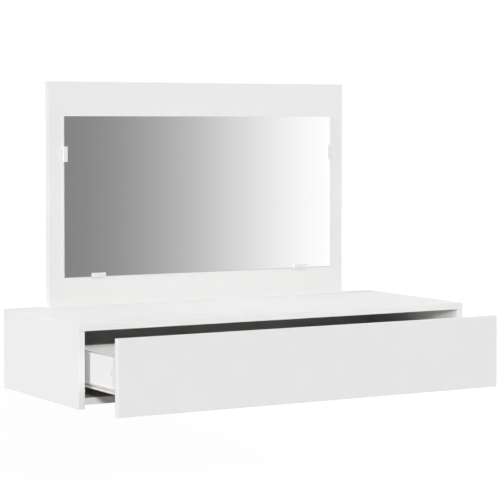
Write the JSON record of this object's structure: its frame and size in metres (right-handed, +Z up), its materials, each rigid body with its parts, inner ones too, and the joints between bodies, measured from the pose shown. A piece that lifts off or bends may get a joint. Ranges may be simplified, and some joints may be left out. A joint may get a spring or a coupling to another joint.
{
  "type": "dressing table",
  "caption": "Wall-hung dressing table: shallow white cabinet with a handle-less full-width drawer on roller runners and a mirror panel standing on its top.",
  "frame": {"origin": "middle of the back panel's wall face, which is also the middle of the cabinet's height", "axes": "+X along the wall to the right as seen from the front, +Y into the wall, +Z up; the drawer opens along -Y"},
  "size_m": [1, 0.555, 0.7003],
  "materials": {
    "white_board": "white melamine, satin",
    "drawer_board": "white melamine, satin",
    "drawer_hardboard": "white lacquered hardboard",
    "mirror_silver": "silvered glass with polished edges",
    "clip_plastic": "moulded, satin",
    "rail_enamel": "white epoxy on rolled steel",
    "roller_nylon": "moulded nylon",
    "dowel_beech": "raw beech",
    "white_lacquer": "white lacquered screw heads",
    "zinc_steel": "zinc plated"
  },
  "bodies": {
    "cabinet": {"top_panel": "white_board", "bottom_panel": "white_board", "back_panel": "white_board", "left_side_panel": "white_board", "right_side_panel": "white_board", "mirror_panel": "white_board", "mirror_glass": "mirror_silver", "bottom_clip_left": "clip_plastic", "bottom_clip_right": "clip_plastic", "side_clip_left": "clip_plastic", "side_clip_right": "clip_plastic", "bottom_clip_left_screw": "white_lacquer", "bottom_clip_right_screw": "white_lacquer", "side_clip_left_screw": "white_lacquer", "side_clip_right_screw": "white_lacquer", "cabinet_rail_left": "rail_enamel", "cabinet_rail_right": "rail_enamel", "cabinet_rail_left_screw_front": "zinc_steel", "cabinet_rail_left_screw_rear": "zinc_steel", "cabinet_rail_right_screw_front": "zinc_steel", "cabinet_rail_right_screw_rear": "zinc_steel", "front_roller_left_pin": "zinc_steel", "front_roller_right_pin": "zinc_steel", "left_side_dowel": "dowel_beech", "right_side_dowel": "dowel_beech", "left_back_dowel": "dowel_beech", "right_back_dowel": "dowel_beech", "left_bottom_dowel_front": "dowel_beech", "left_bottom_dowel_rear": "dowel_beech", "right_bottom_dowel_front": "dowel_beech", "right_bottom_dowel_rear": "dowel_beech", "left_side_cam": "zinc_steel", "right_side_cam": "zinc_steel", "left_side_cam_bolt": "zinc_steel", "right_side_cam_bolt": "zinc_steel", "left_panel_screw": "zinc_steel", "right_panel_screw": "zinc_steel"},
    "drawer": {"drawer_front": "drawer_board", "drawer_left_side": "drawer_board", "drawer_right_side": "drawer_board", "drawer_back": "drawer_board", "drawer_bottom": "drawer_hardboard", "drawer_rail_left": "rail_enamel", "drawer_rail_right": "rail_enamel", "drawer_rail_left_screw_front": "zinc_steel", "drawer_rail_left_screw_rear": "zinc_steel", "drawer_rail_right_screw_front": "zinc_steel", "drawer_rail_right_screw_rear": "zinc_steel", "rear_roller_left_pin": "zinc_steel", "rear_roller_right_pin": "zinc_steel", "drawer_left_cam": "zinc_steel", "drawer_right_cam": "zinc_steel", "drawer_left_cam_bolt": "zinc_steel", "drawer_right_cam_bolt": "zinc_steel", "drawer_left_back_screw": "zinc_steel", "drawer_right_back_screw": "zinc_steel"},
    "front_roller_left": {"front_roller_left": "roller_nylon"},
    "front_roller_right": {"front_roller_right": "roller_nylon"},
    "rear_roller_left": {"rear_roller_left": "roller_nylon"},
    "rear_roller_right": {"rear_roller_right": "roller_nylon"}
  },
  "joints": [
    {"name": "drawer_slide", "type": "slide", "parent": "cabinet", "child": "drawer", "axis": [0, -1, 0], "range_m": [-0.155, 0.105]},
    {"name": "front_roller_left_spin", "type": "hinge", "parent": "cabinet", "child": "front_roller_left", "pos_m": [-0.477, -0.365, -0.04615], "axis": [1, 0, 0], "range_deg": [-990, 672]},
    {"name": "rear_roller_left_spin", "type": "hinge", "parent": "drawer", "child": "rear_roller_left", "pos_m": [-0.477, -0.205, -0.04615], "axis": [1, 0, 0], "range_deg": [-990, 672]},
    {"name": "front_roller_right_spin", "type": "hinge", "parent": "cabinet", "child": "front_roller_right", "pos_m": [0.477, -0.365, -0.04615], "axis": [1, 0, 0], "range_deg": [-990, 672]},
    {"name": "rear_roller_right_spin", "type": "hinge", "parent": "drawer", "child": "rear_roller_right", "pos_m": [0.477, -0.205, -0.04615], "axis": [1, 0, 0], "range_deg": [-990, 672]}
  ],
  "couplings": [
    {"joint": "front_roller_left_spin", "follows": "drawer_slide", "rad_per_m": 111.11},
    {"joint": "rear_roller_left_spin", "follows": "drawer_slide", "rad_per_m": 111.11},
    {"joint": "front_roller_right_spin", "follows": "drawer_slide", "rad_per_m": 111.11},
    {"joint": "rear_roller_right_spin", "follows": "drawer_slide", "rad_per_m": 111.11}
  ]
}
